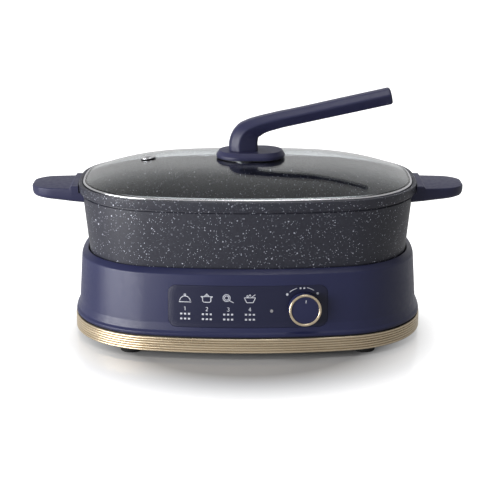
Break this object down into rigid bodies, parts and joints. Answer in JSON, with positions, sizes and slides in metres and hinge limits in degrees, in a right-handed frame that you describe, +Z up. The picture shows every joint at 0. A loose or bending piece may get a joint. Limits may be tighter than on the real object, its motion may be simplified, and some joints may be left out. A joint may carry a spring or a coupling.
{
  "type": "electric hot pot",
  "caption": "Oval electric hot pot: heating base with rotary control, lift-out coated pot with handles, and lift-off glass lid with a long bent handle.",
  "frame": {"origin": "on the table, under the middle of the appliance", "axes": "+Z up, +X along the pot's length, towards the tip of the lid handle, -Y towards the user"},
  "size_m": [0.425, 0.2362, 0.24],
  "materials": {
    "navy_shell": "satin",
    "navy_handle": "satin",
    "gold_trim": "satin champagne",
    "black_plastic": "fine texture",
    "foot_rubber": "matt",
    "steel": "plain",
    "steel_sheet": "brushed",
    "plate_aluminium": "turned",
    "ceramic": "plain",
    "pot_coating": "speckled coating",
    "clear_glass": "clear",
    "rim_steel": "polished",
    "seal_rubber": "matt",
    "brass_insert": "plain",
    "panel_black": "gloss",
    "lamp_lens": "clear",
    "board_green": "plain",
    "pointer_white": "plain",
    "relay_case": "plain",
    "wire_brown": "plain",
    "wire_blue": "plain",
    "wire_green": "plain",
    "wire_white": "plain"
  },
  "bodies": {
    "base": {"base_housing": "navy_shell", "trim_band": "gold_trim", "bottom_cover": "black_plastic", "feet": "foot_rubber", "cover_screws": "steel", "well_tray": "steel_sheet", "heating_plate": "plate_aluminium", "heating_element": "steel", "element_insulators": "ceramic", "element_terminals": "steel", "heat_reflector": "steel_sheet", "plate_posts": "steel", "plate_screws": "steel", "sensor_guide": "steel_sheet", "sensor_spring": "steel", "thermal_fuse": "ceramic", "fuse_clip": "steel", "control_panel": "panel_black", "power_lamp": "lamp_lens", "control_board": "board_green", "rotary_control": "black_plastic", "control_nut": "steel", "power_inlet": "black_plastic", "inlet_pins": "brass_insert", "inlet_screws": "steel", "power_board": "board_green", "relay": "relay_case", "terminal_block": "ceramic", "board_screws": "steel", "wire_live": "wire_brown", "wire_neutral": "wire_blue", "wire_earth": "wire_green", "element_leads": "wire_white", "earth_screw": "steel"},
    "sensor": {"sensor_cap": "plate_aluminium"},
    "knob": {"knob_body": "navy_shell", "knob_ring": "gold_trim", "knob_pointer": "pointer_white", "control_shaft": "steel"},
    "pot": {"pot_vessel": "pot_coating", "left_handle": "navy_handle", "right_handle": "navy_handle", "handle_screws": "steel"},
    "lid": {"lid_glass": "clear_glass", "lid_rim": "rim_steel", "vent_grommet": "seal_rubber", "steam_vent": "rim_steel", "handle_gasket": "seal_rubber", "handle_mount": "navy_handle", "lid_handle": "navy_handle", "handle_insert": "brass_insert", "inner_washer": "steel", "lid_handle_screw": "steel"}
  },
  "joints": [
    {"name": "pot_lift", "type": "slide", "parent": "base", "child": "pot", "axis": [0, 0, 1], "range_m": [0, 0.05]},
    {"name": "lid_lift", "type": "slide", "parent": "pot", "child": "lid", "axis": [0, 0, 1], "range_m": [0, 0.06]},
    {"name": "knob_turn", "type": "hinge", "parent": "base", "child": "knob", "pos_m": [0.05295, -0.10435, 0.04905], "axis": [0.1016, -0.9927, 0.0646], "range_deg": [-42, 52]},
    {"name": "sensor_press", "type": "slide", "parent": "base", "child": "sensor", "axis": [0, 0, 1], "range_m": [-0.003, 0], "stiffness_N_per_m": 300, "springref_m": 0.002, "deforming": ["sensor_spring"]}
  ]
}
